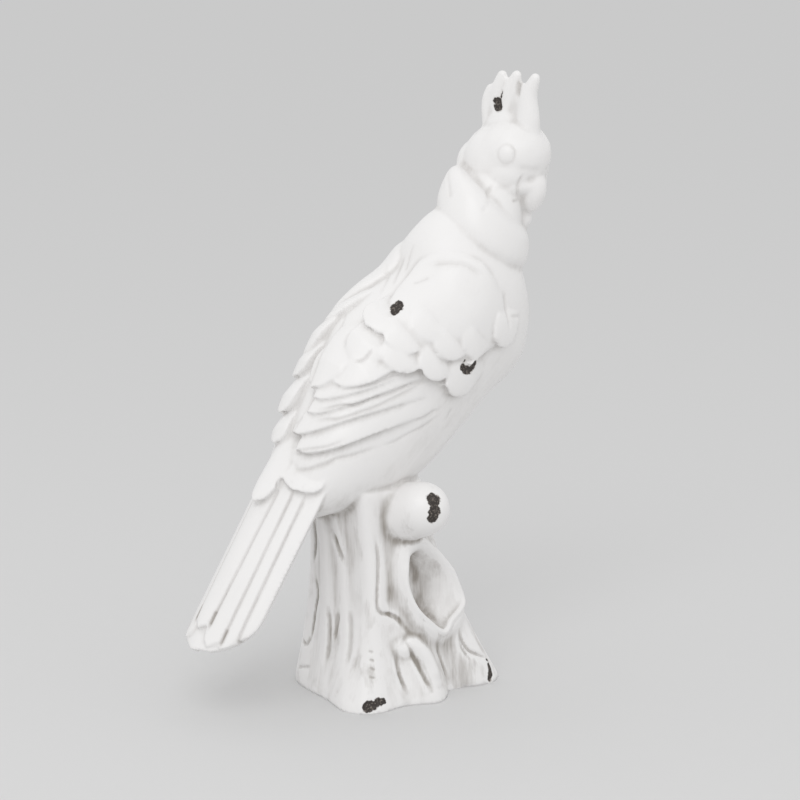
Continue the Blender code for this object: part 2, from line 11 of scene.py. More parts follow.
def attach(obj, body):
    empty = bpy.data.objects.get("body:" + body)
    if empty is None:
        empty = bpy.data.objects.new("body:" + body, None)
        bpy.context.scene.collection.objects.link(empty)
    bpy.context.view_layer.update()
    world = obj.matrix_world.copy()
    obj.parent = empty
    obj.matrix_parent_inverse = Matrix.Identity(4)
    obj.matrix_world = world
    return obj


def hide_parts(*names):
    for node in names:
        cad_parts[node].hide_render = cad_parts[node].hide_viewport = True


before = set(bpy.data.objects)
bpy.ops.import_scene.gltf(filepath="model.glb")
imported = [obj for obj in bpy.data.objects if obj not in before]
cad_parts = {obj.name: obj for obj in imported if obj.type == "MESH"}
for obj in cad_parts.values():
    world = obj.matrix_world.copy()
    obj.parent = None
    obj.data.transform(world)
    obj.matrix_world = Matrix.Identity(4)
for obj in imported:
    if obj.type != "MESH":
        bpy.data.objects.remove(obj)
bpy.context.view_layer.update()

# The modelled body
# The bird is modelled as one fat spindle of clay that leans on the stump. Its sections are given on a spine
# from inside the tail up to the crown, and every feather is then laid on this skin.
MM = 0.001
MODEL_ORIGIN = Vector((16.2 * MM, 2.5 * MM, 0))
# x, z, depth behind, depth in front, half width
SPINE = (
    (-82 * MM, 125 * MM, 12 * MM, 12 * MM, 20 * MM),
    (-68 * MM, 137 * MM, 23 * MM, 25 * MM, 30 * MM),
    (-49 * MM, 153 * MM, 34 * MM, 42 * MM, 37 * MM),
    (-25 * MM, 174 * MM, 45 * MM, 54 * MM, 41 * MM),
    (-2 * MM, 196 * MM, 52 * MM, 57 * MM, 43 * MM),
    (18 * MM, 217 * MM, 47 * MM, 60 * MM, 43 * MM),
    (36 * MM, 238 * MM, 38 * MM, 68 * MM, 42 * MM),
    (50 * MM, 257 * MM, 41 * MM, 56 * MM, 38 * MM),
    (61 * MM, 275 * MM, 37 * MM, 34 * MM, 29.5 * MM),
    (70 * MM, 292 * MM, 25 * MM, 23 * MM, 25 * MM),
    (78 * MM, 309 * MM, 20 * MM, 18 * MM, 20 * MM),
    (85 * MM, 326 * MM, 18 * MM, 16 * MM, 18 * MM),
    (88 * MM, 336 * MM, 12 * MM, 12 * MM, 12 * MM),
)
BODY_RINGS = 80
BODY_SIDES = 72


def through(stations, place):
    """The stations' values at a place from 0 to 1, on a smooth curve that runs through them all."""
    table = np.asarray(stations, float)
    at = min(max(place, 0.0), 1.0) * (len(table) - 1)
    i = min(int(at), len(table) - 2)
    f = at - i
    before = table[i - 1] if i > 0 else 2 * table[0] - table[1]
    after = table[i + 2] if i + 2 < len(table) else 2 * table[-1] - table[-2]
    a, b = table[i], table[i + 1]
    return 0.5 * (2 * a + (b - before) * f + (2 * before - 5 * a + 4 * b - after) * f**2
                  + (3 * a - before - 3 * b + after) * f**3)


def on_body(place, angle, lift=0.0):
    """A point on the bird's skin. The angle runs from mid-back, positive round its right side."""
    x, z, behind, front, wide = through(SPINE, place)
    reach = 0.01
    before, after = through(SPINE, place - reach), through(SPINE, place + reach)
    along = Vector((after[0] - before[0], 0, after[1] - before[1])).normalized()
    back = Vector((-along.z, 0, along.x))
    c, s = math.cos(angle), math.sin(angle)
    deep = behind if c > 0 else front
    out = (back * (c / deep) + Vector((0, -s / wide, 0))).normalized()
    return Vector((x, 0, z)) + back * (deep * c) + Vector((0, -wide * s, 0)) + out * lift


def deselect():
    bpy.ops.object.select_all(action="DESELECT")


def grid_piece(name, spot, across, along):
    """A grid primitive whose points, from -1 to 1 both ways, are moved to their spots."""
    deselect()
    bpy.ops.mesh.primitive_grid_add(x_subdivisions=across, y_subdivisions=along, size=2)
    piece = bpy.context.object
    piece.name = name
    for v in piece.data.vertices:
        v.co = spot(v.co.x, v.co.y)
    return piece


def tube_piece(name, spot, around, along):
    """A closed body: a grid primitive rolled up by its spots, its seam merged and its two ends filled."""
    piece = grid_piece(name, lambda x, y: spot(math.pi * (x + 1), (y + 1) / 2), around, along)
    bpy.ops.object.mode_set(mode="EDIT")
    bpy.ops.mesh.select_all(action="SELECT")
    bpy.ops.mesh.remove_doubles(threshold=0.01 * MM)
    bpy.ops.mesh.select_all(action="DESELECT")
    bpy.ops.mesh.select_mode(type="EDGE")
    bpy.ops.mesh.select_non_manifold()
    bpy.ops.mesh.fill_holes(sides=0)
    bpy.ops.object.mode_set(mode="OBJECT")
    return piece


def ball_piece(name, centre, radii, axes=None):
    """An ellipsoid: a sphere primitive stretched along the given axes."""
    deselect()
    bpy.ops.mesh.primitive_uv_sphere_add(segments=48, ring_count=24, radius=1)
    piece = bpy.context.object
    piece.name = name
    turn = Matrix.Identity(3) if axes is None else Matrix(axes).transposed()
    piece.data.transform(Matrix.Translation(centre) @ turn.to_4x4() @ Matrix.Diagonal((*radii, 1)))
    return piece


def apply(piece, kind, **settings):
    modifier = piece.modifiers.new(kind, kind)
    for key, value in settings.items():
        setattr(modifier, key, value)
    bpy.context.view_layer.objects.active = piece
    bpy.ops.object.modifier_apply(modifier=modifier.name)


body = tube_piece("body", lambda angle, place: on_body(place, angle), BODY_SIDES, BODY_RINGS)

# The ruff
# A ring of neck feathers hangs over the shoulders like a short cape. It is pressed on as a coil of clay,
# so that its lower rim stands off the back in a dark, slightly scalloped step; its shadow is also painted in
# under it.
RUFF_FOOT = Vector((63 * MM, -3 * MM, 277 * MM))
RUFF_TOP = Vector((78 * MM, 0 * MM, 315 * MM))
# Distance up the neck, radius, and how far the ring leans forwards in degrees
RUFF = (
    (0, 24 * MM, 34),
    (1 * MM, 31 * MM, 34),
    (5 * MM, 34 * MM, 34.5),
    (11 * MM, 34.5 * MM, 36),
    (17 * MM, 34 * MM, 38),
    (22 * MM, 33 * MM, 40),
    (26 * MM, 30.5 * MM, 42),
    (28.5 * MM, 26 * MM, 42),
    (30 * MM, 19 * MM, 42),
    (31 * MM, 10 * MM, 42),
)
RUFF_WAY = -37
RUFF_SCALLOPS = 11
RUFF_SCALLOP_DEPTH = 1.6 * MM


def on_ruff(angle, place):
    axis = RUFF_TOP - RUFF_FOOT
    up, radius, lean = through(RUFF, place)
    lean = math.radians(lean)
    low = Vector((math.cos(math.radians(RUFF_WAY)), math.sin(math.radians(RUFF_WAY)), 0))
    flat = Vector((-low.y, low.x, 0))
    down = low * math.cos(lean) - Vector((0, 0, 1)) * math.sin(lean)
    hang = RUFF_SCALLOP_DEPTH * abs(math.sin(0.5 * RUFF_SCALLOPS * angle)) * max(0.0, 1 - place * 4)
    centre = RUFF_FOOT + axis * (up / axis.length) - axis.normalized() * hang
    return centre + (down * math.cos(angle) + flat * math.sin(angle)) * radius


ruff = tube_piece("ruff", on_ruff, 72, 32)

# The head
# It is turned to look over the right shoulder. Two full cheeks meet under a heavy brow, a collar of clay
# frames each cheek, and the hooked beak is tucked close against the throat.
HEAD = Vector((87 * MM, -3 * MM, 325 * MM))
HEAD_TURN = -73
# Each ball of clay: forwards, right, up, and its radii; the paired ones are made on both sides
HEAD_BALLS = (
    ("skull", -5, 0, -2, 27, 24.5, 25),
    ("face", 1.5, 0, 3, 24.5, 23.5, 22.5),
    ("brow", 6, 0, 3, 17, 15, 16),
    ("crest_root", -3, 0, 19, 16, 9, 13),
    ("beak", 14.5, 0, -17, 11.5, 9.5, 14),
    ("beak_hook", 16, 0, -25, 7, 6, 7),
    ("chin", 8, 0, -25, 9, 9, 7),
    ("collar", -1, 0, -15, 24.5, 23, 9),
    ("throat", 5, 0, -36, 10, 10, 9),
    ("nape", -20, 2, -5, 17, 17, 18),
)
CHEEK_BALLS = (
    ("cheek", 2, 9.5, -7, 18, 14.5, 13.5),
    ("brow_side", 11, 8.5, 8, 12, 9, 8),
)
EYE = (12.3, 22.4, 6.5)
EYE_RADIUS = 5 * MM
EYE_BULGE = 2.4 * MM
head_turn = math.radians(HEAD_TURN)
head_ahead = Vector((math.cos(head_turn), math.sin(head_turn), 0))
head_side = Vector((math.sin(head_turn), -math.cos(head_turn), 0))
head_top = Vector((0, 0, 1))


def in_head(forwards, right, up):
    return HEAD + head_ahead * forwards + head_side * right + head_top * up


def head_ball(name, forwards, right, up, *radii):
    return ball_piece(name, in_head(forwards * MM, right * MM, up * MM), [r * MM for r in radii],
                      (head_ahead, head_side, head_top))


head = [head_ball(*ball) for ball in HEAD_BALLS]
for side in (-1, 1):
    head += [head_ball(name, forwards, side * right, *rest) for name, forwards, right, *rest in CHEEK_BALLS]

# The crest
# Four plump feathers, and a low web before the last of them, are pinched up from the crown.
# They stand one behind the other and curl forwards at their tips.
# Each feather's knots in mm: forwards, up, radius
CREST = (
    ((-12, 8, 7), (-17, 24, 5.2), (-18, 35, 4.6), (-16, 43, 3.6)),
    ((-8, 12, 7), (-10.5, 27, 5), (-10.3, 42, 5), (-7, 52, 3.8)),
    ((-3, 14, 7), (-2.5, 27, 5.6), (-1, 42, 5.2), (4, 52.5, 3.8)),
    ((5, 14, 7), (5, 28, 4.8), (5.5, 39, 3.8), (7.5, 46, 3)),
    ((10, 12, 11), (12.5, 26, 8.4), (13, 40, 6.2), (18, 51.5, 3.8)),
)
CREST_FLATNESS = 0.8


def limb_piece(name, knots, side, flatness=1.0):
    """A round-ended limb through knots of (point, radius), its section flattened along the side."""
    path = [(*point, radius) for point, radius in knots]
    cap = 0.12
    step = 0.02

    def spot(angle, t):
        place = min(max((t - cap) / (1 - 2 * cap), 0.0), 1.0)
        x, y, z, radius = through(path, place)
        after = Vector(through(path, min(place + step, 1.0))[:3])
        before = Vector(through(path, max(place - step, 0.0))[:3])
        ahead = (after - before).normalized()
        across = ahead.cross(side).normalized()
        own_side = across.cross(ahead)
        round_off = max(0.0, cap - t, t - 1 + cap) / cap
        swing = 0.5 * math.pi * round_off
        centre = Vector((x, y, z)) + ahead * math.copysign(radius * math.sin(swing), t - 0.5)
        reach = max(radius * math.cos(swing), 0.02 * radius)
        return centre + across * (reach * math.cos(angle)) + own_side * (reach * flatness * math.sin(angle))

    return tube_piece(name, spot, 28, 48)


crest = []
for knots in CREST:
    knots = [(in_head(forwards * MM, 0, up * MM), radius * MM) for forwards, up, radius in knots]
    crest.append(limb_piece("crest_feather", knots, head_side, CREST_FLATNESS))

# The wings
# Each folded wing is a swell over the ribs, six long flight feathers that lie one over the next, and rows of
# rounded coverts over their roots. A feather is given by its root and tip on the skin and by its tip's lift.
WING_RISE = 6 * MM
FEATHER_THICKNESS = 2.4 * MM
FEATHER_TILT = 1.3 * MM
FEATHER_SINK = 5 * MM
FEATHER_ROOT_LIFT = -4 * MM
# The left wing's feathers nearer to the middle of the back than this lie under the scapulars,
# and the rest lies lower than on the right wing
LEFT_WING_START = 35
LEFT_WING_SINK = 3 * MM
FEATHER_BOW = 3
# Root place and angle, tip place and angle, half width, lift
FLIGHT_FEATHERS = (
    (0.34, 97, 0.108, 20, 10.5 * MM, 2 * MM),
    (0.35, 86, 0.133, 8, 9.5 * MM, 3.4 * MM),
    (0.36, 73, 0.176, 17, 8.5 * MM, 4.8 * MM),
    (0.36, 66, 0.199, 17, 8.5 * MM, 6.2 * MM),
    (0.37, 55, 0.233, 28, 9.5 * MM, 7.6 * MM),
    (0.36, 12, 0.210, 12, 10 * MM, 7 * MM),
)
COVERTS = (
    (0.45, 104, 0.350, 93, 13 * MM, 3.2 * MM),
    (0.42, 80, 0.340, 70, 11.5 * MM, 5.4 * MM),
    (0.40, 59, 0.308, 50, 12 * MM, 6.4 * MM),
    (0.39, 34, 0.284, 30, 12 * MM, 6.2 * MM),
    (0.50, 94, 0.422, 86, 12 * MM, 4.6 * MM),
    (0.47, 78, 0.385, 70, 11.5 * MM, 6.2 * MM),
    (0.43, 52, 0.338, 43, 11.5 * MM, 7 * MM),
    (0.44, 30, 0.345, 26, 12 * MM, 6.4 * MM),
    (0.56, 108, 0.478, 102, 12 * MM, 3 * MM),
    (0.49, 60, 0.390, 50, 13 * MM, 6.6 * MM),
)
# The feathers of the left wing that overlap along the middle of the back, lowest first
SCAPULARS = (
    (0.20, -24, 0.104, -15, 10 * MM, 3 * MM),
    (0.26, -24, 0.160, -21, 10.5 * MM, 5 * MM),
    (0.32, -24, 0.222, -24, 11 * MM, 5 * MM),
    (0.38, -24, 0.268, -26, 11 * MM, 4.5 * MM),
    (0.45, -22, 0.335, -19, 11 * MM, 2.5 * MM),
)


def rounded(t, shoulder, taper):
    """Half width along a feather as a share of its widest, rounded at the tip and at any shoulder."""
    share = 1.0
    if t > taper:
        share = math.sqrt(max(0.0, 1 - ((t - taper) / (1 - taper)) ** 2))
    if shoulder and t < shoulder:
        share = min(share, math.sqrt(max(0.0, 1 - ((shoulder - t) / shoulder) ** 2)))
    return max(share, 0.03)


def feather_piece(name, root, tip, half_width, tip_lift, thickness=FEATHER_THICKNESS, shoulder=0.0, taper=0.6,
                  root_lift=-1 * MM, edge=0.7, bow=0.0, tilt=0.0):
    """A feather laid on the bird's skin from root to tip, crowned across, with a ledge at its edge."""
    steps = 24
    step = 0.004
    line = []
    for i in range(steps + 1):
        t = i / steps
        place = root[0] + (tip[0] - root[0]) * t
        angle = math.radians(root[1] + (tip[1] - root[1]) * t + bow * 4 * t * (1 - t))
        by_place = (on_body(place + step, angle) - on_body(place - step, angle)) / (2 * step)
        by_angle = (on_body(place, angle + step) - on_body(place, angle - step)) / (2 * step)
        line.append((place, angle, by_place, by_angle))
    sides = []
    for i, (place, angle, by_place, by_angle) in enumerate(line):
        after, before = line[min(i + 1, steps)], line[max(i - 1, 0)]
        ahead = on_body(after[0], after[1]) - on_body(before[0], before[1])
        across = by_place.cross(by_angle).cross(ahead).normalized()
        a, b, c = by_place.dot(by_place), by_place.dot(by_angle), by_angle.dot(by_angle)
        d, e = by_place.dot(across), by_angle.dot(across)
        by_side = Vector((c * d - b * e, a * e - b * d)) / (a * c - b * b)
        if by_side.y * (root[1] + tip[1]) < 0:
            by_side.negate()
        sides.append(by_side)
    way = 1 if root[1] + tip[1] > 0 else -1

    def spot(x, y):
        u, t = way * x, (y + 1) / 2
        i = int(round(t * steps))
        place, angle = line[i][:2]
        reach = u * half_width * rounded(t, shoulder, taper)
        base = root_lift + (tip_lift - root_lift) * min(1.0, t * 1.5) ** 0.8
        lift = base + thickness * (edge + (1 - edge) * (1 - abs(u) ** 2.5)) + tilt * u
        return on_body(place + sides[i].x * reach, angle + sides[i].y * reach, lift)

    piece = grid_piece(name, spot, 14, steps)
    apply(piece, "SOLIDIFY", thickness=FEATHER_SINK + thickness, offset=1)
    return piece


swells = [feather_piece("wing_swell", (0.60, side * 72), (0.36, side * 46), 33 * MM, WING_RISE, 2 * MM,
                        shoulder=0.45, taper=0.5, root_lift=1 * MM, edge=-1.0) for side in (-1, 1)]
feathers = []
for side in (-1, 1):
    sink = LEFT_WING_SINK if side < 0 else 0
    for row, tilt in ((FLIGHT_FEATHERS, FEATHER_TILT), (COVERTS, 0.0)):
        for root_place, root_angle, tip_place, tip_angle, half_width, lift in row:
            if side > 0 or tip_angle > LEFT_WING_START:
                root = (root_place, side * root_angle)
                tip = (tip_place, side * tip_angle)
                feathers.append(feather_piece("feather", root, tip, half_width, lift - sink, tilt=tilt,
                                              bow=side * FEATHER_BOW, root_lift=FEATHER_ROOT_LIFT))
for root_place, root_angle, tip_place, tip_angle, half_width, lift in SCAPULARS:
    feathers.append(feather_piece("scapular", (root_place, root_angle), (tip_place, tip_angle), half_width,
                                  lift, root_lift=FEATHER_ROOT_LIFT))

# The tail
# Seven long feathers lie side by side on one thin slab that shows as a rim round their tips.
# Three short coverts close over their roots.
TAIL_ROOT = Vector((-86 * MM, 3 * MM, 149.5 * MM))
TAIL_SLOPE = 58
TAIL_THICKNESS = 9 * MM
TAIL_ROOF_DROP = 14 * MM
TAIL_START = -12 * MM
TAIL_LENGTH = 120 * MM
TAIL_HALF_WIDTH = 30 * MM
TAIL_SLAB = 32 * MM
TAIL_SLAB_DEPTH = 2.8 * MM
TAIL_SLAB_TAPER = 0.72
TAIL_FEATHER_THICKNESS = 6 * MM
TAIL_FEATHER_TAPER = 0.84
TAIL_COVERT_THICKNESS = 8 * MM
TAIL_COVERT_TAPER = 0.75
TAIL_COVERT_CROWN = 3 * MM
TAIL_COVERT_DIP = 4 * MM
TAIL_FEATHER_STEP = 0.55 * MM
# From the middle outwards: side at the root and at the end, half width at the root and at the end, length
TAIL_FEATHERS = (
    (0, 0, 10 * MM, 8 * MM, 107 * MM),
    (12 * MM, 12 * MM, 6.5 * MM, 7 * MM, 115 * MM),
    (18.5 * MM, 19.5 * MM, 6.5 * MM, 6.5 * MM, 113 * MM),
    (26 * MM, 26 * MM, 7 * MM, 6.5 * MM, 103 * MM),
)
# Side, half width, where the root and the tip lie, lift
TAIL_COVERTS = (
    (-14 * MM, 8 * MM, -30 * MM, 10 * MM, -2 * MM),
    (21 * MM, 12 * MM, -30 * MM, 8 * MM, 1 * MM),
    (1 * MM, 9.5 * MM, -38 * MM, 24 * MM, 2.5 * MM),
)
tail_slope = math.radians(TAIL_SLOPE)
tail_down = Vector((-math.cos(tail_slope), 0, -math.sin(tail_slope)))
tail_out = Vector((-math.sin(tail_slope), 0, math.cos(tail_slope)))


def on_tail(along, side, lift=0.0):
    drop = TAIL_ROOF_DROP * (abs(side) / TAIL_HALF_WIDTH) ** 1.7
    return TAIL_ROOT + tail_down * along - Vector((0, side, 0)) + tail_out * (lift - drop)


def tail_piece(name, along, side, half_width, top, floor, taper, across=12, rows=40):
    """A plate of the tail from its start and end values, with top(t, u) for its upper face."""
    def spot(x, y):
        t = (y + 1) / 2
        half = half_width[0] + (half_width[1] - half_width[0]) * t
        here = side[0] + (side[1] - side[0]) * t + x * half * rounded(t, 0, taper)
        return on_tail(along[0] + (along[1] - along[0]) * t, here, top(t, x))

    piece = grid_piece(name, spot, across, rows)
    apply(piece, "SOLIDIFY", thickness=floor, offset=1)
    return piece


tail = [tail_piece("tail_slab", (TAIL_START, TAIL_LENGTH), (0, 0), (TAIL_SLAB, TAIL_SLAB),
                   lambda t, u: -TAIL_SLAB_DEPTH, TAIL_THICKNESS - TAIL_SLAB_DEPTH, TAIL_SLAB_TAPER, across=24)]
for number, (root_side, end_side, root_half, end_half, length) in enumerate(TAIL_FEATHERS):
    for side in ((1,) if number == 0 else (-1, 1)):
        tail.append(tail_piece("tail_feather", (TAIL_START, length), (side * root_side, side * end_side),
                               (root_half, end_half),
                               lambda t, u, n=number: -TAIL_FEATHER_STEP * (n + abs(u) ** 3),
                               TAIL_FEATHER_THICKNESS, TAIL_FEATHER_TAPER))
for side, half_width, root, tip, lift in TAIL_COVERTS:
    tail.append(tail_piece("tail_covert", (root, tip), (side, side), (half_width, half_width),
                           lambda t, u, lift=lift: (lift + TAIL_COVERT_CROWN * (1 - 0.4 * abs(u) ** 2.5)
                                                    - TAIL_COVERT_DIP * (1 - t)),
                           TAIL_COVERT_THICKNESS, TAIL_COVERT_TAPER))

# The stump
# The bird sits on the stump of a tree. Its bark is gathered into a few rounded ridges that run down into
# spreading roots, and it has healed over round a knot hole in a raised lip. Its foot is rubbed flat.
STUMP_HEIGHT = 134 * MM
STUMP_SINK = 6 * MM
TRUNK_FOOT_RADIUS = 40 * MM
TRUNK_TOP_RADIUS = 32 * MM
TRUNK_LEAN = -24 * MM
# The outline of the foot: the way it faces, its radius and how high the root there climbs, both in mm
FOOT = (
    (10, 64, 38), (22, 57, 36), (34, 50, 36), (46, 60, 36), (57, 66, 36),
    (70, 56, 36), (80, 51, 38), (92, 54.5, 40), (102, 56, 40), (116, 54, 48),
    (126, 55, 55), (138, 61, 62), (148, 63.5, 62), (160, 61.5, 58),
    (170, 59.5, 50), (184, 59, 44), (192, 60.5, 42), (199, 64.5, 40),
    (209, 71.5, 37), (219, 72.5, 36), (229, 68, 36), (236, 59.5, 36),
    (243, 55, 35), (254, 54.5, 38), (265, 57, 40), (274, 52, 38),
    (287, 43, 38), (294, 44, 40), (301, 48.5, 42), (308, 57, 48),
    (318, 65, 60), (328, 67, 62), (338, 63, 50), (352, 55, 40),
)
# The way each ridge of bark points at the foot and at the top, its rise and its half spread
RIDGES = (
    (222, 237, 6.5 * MM, 13),
    (184, 178, 4.5 * MM, 9),
    (203, 200, 2 * MM, 6),
    (150, 152, 2.5 * MM, 10),
    (14, 26, 3.5 * MM, 10),
    (58, 47, 4 * MM, 13),
    (100, 108, 3.5 * MM, 10),
    (128, 124, 2.5 * MM, 8),
    (336, 331, 3 * MM, 10),
)
# The knot hole: the way it faces, its height, and its lip's distance from its middle in twelve directions,
# from the one towards the breast round over the top
KNOT_WAY = 292
KNOT_HEIGHT = 68 * MM
KNOT_REACH = 46 * MM
KNOT_LIP = (24 * MM, 24 * MM, 25 * MM, 29 * MM, 31 * MM, 27 * MM,
            24 * MM, 23.5 * MM, 25 * MM, 29.5 * MM, 26 * MM, 24.5 * MM)
KNOT_RISE = 6 * MM
KNOT_DEPTH = 11 * MM
KNOT_OUTER_SHARE = 0.24
KNOT_INNER_SHARE = 0.5
TRUNK_NARROWING = 1.4
FOOT_ROUNDING = 2 * MM
FOOT_WEAR = 1.5 * MM
foot_ways, foot_radii, foot_climbs = (np.array(column) for column in zip(*FOOT))
foot_radii = foot_radii * MM
foot_climbs = foot_climbs * MM


def knot_swell(way, height):
    """How far the bark stands out round the knot hole, and how far it lies back inside."""
    side = math.radians((way - KNOT_WAY + 180) % 360 - 180) * KNOT_REACH
    up = height - KNOT_HEIGHT
    lip = np.interp(math.degrees(math.atan2(up, side)) % 360, range(0, 360, 30), KNOT_LIP, period=360)
    share = math.hypot(side, up) / lip
    if share > 1:
        return KNOT_RISE * math.exp(-((share - 1) / KNOT_OUTER_SHARE) ** 2)
    fall = min((1 - share) / KNOT_INNER_SHARE, 1.0)
    return KNOT_RISE - (KNOT_RISE + KNOT_DEPTH) * fall * fall * (3 - 2 * fall)


def on_trunk(way, height, lift=0.0):
    """A point on the stump's bark, by the way it faces in degrees, its height and its lift off the bark."""
    share = height / STUMP_HEIGHT
    narrowed = min(max(share, 0) * TRUNK_NARROWING, 1.0)
    radius = TRUNK_FOOT_RADIUS + (TRUNK_TOP_RADIUS - TRUNK_FOOT_RADIUS) * narrowed
    climb = np.interp(way, foot_ways, foot_climbs, period=360)
    spread = math.exp(-(max(height, 0) / climb) ** 1.2)
    radius += (np.interp(way, foot_ways, foot_radii, period=360) - TRUNK_FOOT_RADIUS) * spread
    for foot_way, top_way, rise, half in RIDGES:
        off = (way - (foot_way + (top_way - foot_way) * share) + 180) % 360 - 180
        radius += rise * math.exp(-(off / half) ** 2) * (1 - spread)
    radius += knot_swell(way, height)
    if 0 <= height < FOOT_ROUNDING:
        radius -= FOOT_WEAR * (1 - height / FOOT_ROUNDING) ** 2
    radius += lift
    facing = math.radians(way)
    return Vector((TRUNK_LEAN * share + radius * math.cos(facing), radius * math.sin(facing), height))


def on_stump(angle, t):
    return on_trunk(math.degrees(angle), -STUMP_SINK + (STUMP_HEIGHT + STUMP_SINK) * t)


stump = tube_piece("stump", on_stump, 240, 110)

# The stub
# A sawn stub of a branch sticks out of the stump under the bird. It is a short roll of clay that widens
# towards the trunk, its end worn to a plain dome.
STUB_ROOT = Vector((-17 * MM, 2 * MM, 108 * MM))
STUB_END = Vector((-9 * MM, -43 * MM, 122 * MM))
STUB_RADIUS = 17 * MM
STUB_ROOT_RADIUS = 27 * MM
STUB_MIDDLE_RADIUS = 20 * MM
stub_middle = (STUB_ROOT + STUB_END) / 2
stub_knots = ((STUB_ROOT, STUB_ROOT_RADIUS), (stub_middle, STUB_MIDDLE_RADIUS), (STUB_END, STUB_RADIUS))
stub = limb_piece("stub", stub_knots, Vector((0, 0, 1)))

# The clay
# All of the modelled clay is one piece. The big forms, the crest among them, are worked together and smoothed
# first. The eyes, the feathers and the tail are then pressed on and smoothed a little.
CLAY_GRAIN = 0.95 * MM
MASS_SMOOTHING = 24
SKIN_SMOOTHING = 4


def joined(name, pieces):
    deselect()
    for piece in pieces:
        piece.select_set(True)
    bpy.context.view_layer.objects.active = pieces[0]
    bpy.ops.object.join()
    pieces[0].name = name
    return pieces[0]


figure = joined("clay", [body, ruff, stump, stub] + swells + crest + head)
apply(figure, "REMESH", mode="VOXEL", voxel_size=CLAY_GRAIN)
apply(figure, "SMOOTH", factor=0.5, iterations=MASS_SMOOTHING)

# The eyes
# A flattened pellet of clay is pressed into each side of the head, a little taller than it is wide.
# Its outline is later drawn round it with a point.
eyes = []
eye_rings = []
for side in (-1, 1):
    forwards, right, up = (s * MM for s in EYE)
    outside = in_head(2 * forwards, 2 * side * right, 2 * up)
    hit, spot, normal, face = figure.ray_cast(outside, in_head(0, 0, 0) - outside)
    eye_axes = normal.to_track_quat("Z", "Y").to_matrix()
    eyes.append(ball_piece("eye", spot - normal * 1.2 * MM, (EYE_RADIUS, 1.12 * EYE_RADIUS, EYE_BULGE),
                           eye_axes.transposed()))
    eye_rings.append([spot + eye_axes @ Vector((math.cos(a), 1.12 * math.sin(a), 0)) * (1.12 * EYE_RADIUS)
                      for a in (2 * math.pi * i / 16 for i in range(17))])
figure = joined("clay", [figure] + eyes + feathers + tail)
apply(figure, "REMESH", mode="VOXEL", voxel_size=CLAY_GRAIN)
apply(figure, "SMOOTH", factor=0.5, iterations=SKIN_SMOOTHING)
figure.name = "figurine"

# The casting
# The modelled figure is cast in one piece from slip poured into a mould through a round hole in its foot.
# The wall is even, the inside is a soft copy of the outside, and the foot is rubbed flat.
WALL = 6 * MM
FOOT_FLOOR = 7 * MM
POUR_HOLE_RADIUS = 19 * MM
POUR_HOLE_X = -2 * MM
HOLLOW_GRAIN = 4 * MM
HOLLOW_PLACES = (0.14, 0.70)
deselect()
figure.select_set(True)
bpy.context.view_layer.objects.active = figure
bpy.ops.object.mode_set(mode="EDIT")
bpy.ops.mesh.select_all(action="SELECT")
bpy.ops.mesh.bisect(plane_co=(0, 0, 0), plane_no=(0, 0, 1), use_fill=True, clear_inner=True)
bpy.ops.object.mode_set(mode="OBJECT")
first_place, last_place = HOLLOW_PLACES


def in_body(angle, t):
    return on_body(first_place + (last_place - first_place) * t, angle, -WALL)


def in_stump(angle, t):
    return on_trunk(math.degrees(angle), FOOT_FLOOR + (STUMP_HEIGHT - FOOT_FLOOR) * t, -WALL)


hollow_body = tube_piece("hollow_body", in_body, 40, 40)
hollow_stump = tube_piece("hollow_stump", in_stump, 90, 40)
hollow = joined("hollow", [hollow_body, hollow_stump])
apply(hollow, "REMESH", mode="VOXEL", voxel_size=HOLLOW_GRAIN)
apply(hollow, "SMOOTH", factor=0.5, iterations=3)
deselect()
bpy.ops.mesh.primitive_cylinder_add(vertices=40, radius=POUR_HOLE_RADIUS, depth=4 * FOOT_FLOOR,
                                    location=(POUR_HOLE_X, 0, 0))
pour_hole = bpy.context.object
for tool in (hollow, pour_hole):
    apply(figure, "BOOLEAN", operation="DIFFERENCE", solver="EXACT", object=tool)
    bpy.data.objects.remove(tool)

# The drawn lines
# Before the clay dries, the folds of the neck, the edges of the tail feathers, the lids and the cracks of the
# bark are drawn into it with the edge of a wooden tool, which leaves soft grooves that fade out at their ends.
FACETS = 188000
count = len(figure.data.vertices)
points = np.empty(count * 3, np.float32)
figure.data.vertices.foreach_get("co", points)
points = points.reshape(-1, 3).astype(float)
normals = np.empty(count * 3, np.float32)
figure.data.vertex_normals.foreach_get("vector", normals)
normals = normals.reshape(-1, 3).astype(float)
# How deep each point is carved, how far it is raised, how much wash and painted shade it keeps, and how far it
# lies from a chip
carved = np.zeros(count)
raised = np.zeros(count)
wash_and_shade = np.zeros(count)
chip = np.full(count, 3.0)


def landed(start, way):
    """Where a line from the start hits the clay, or the nearest point of the clay."""
    hit, spot, normal, face = figure.ray_cast(start, way)
    if not hit:
        hit, spot, normal, face = figure.closest_point_on_mesh(start + way.normalized() * 14 * MM)
    return spot


def on_skin(place, angle):
    start = on_body(place, math.radians(angle), 18 * MM)
    return landed(start, on_body(place, math.radians(angle)) - start)


def on_face(forwards, right, up):
    start = in_head(2 * forwards * MM, 2 * right * MM, 2 * up * MM)
    return landed(start, in_head(0, 0, 0) - start)


def on_bark(way, height):
    start = on_trunk(way, height * MM, 25 * MM)
    return landed(start, on_trunk(way, height * MM) - start)


def on_tail_feathers(along, side):
    return landed(on_tail(along * MM, side * MM, 20 * MM), -tail_out)


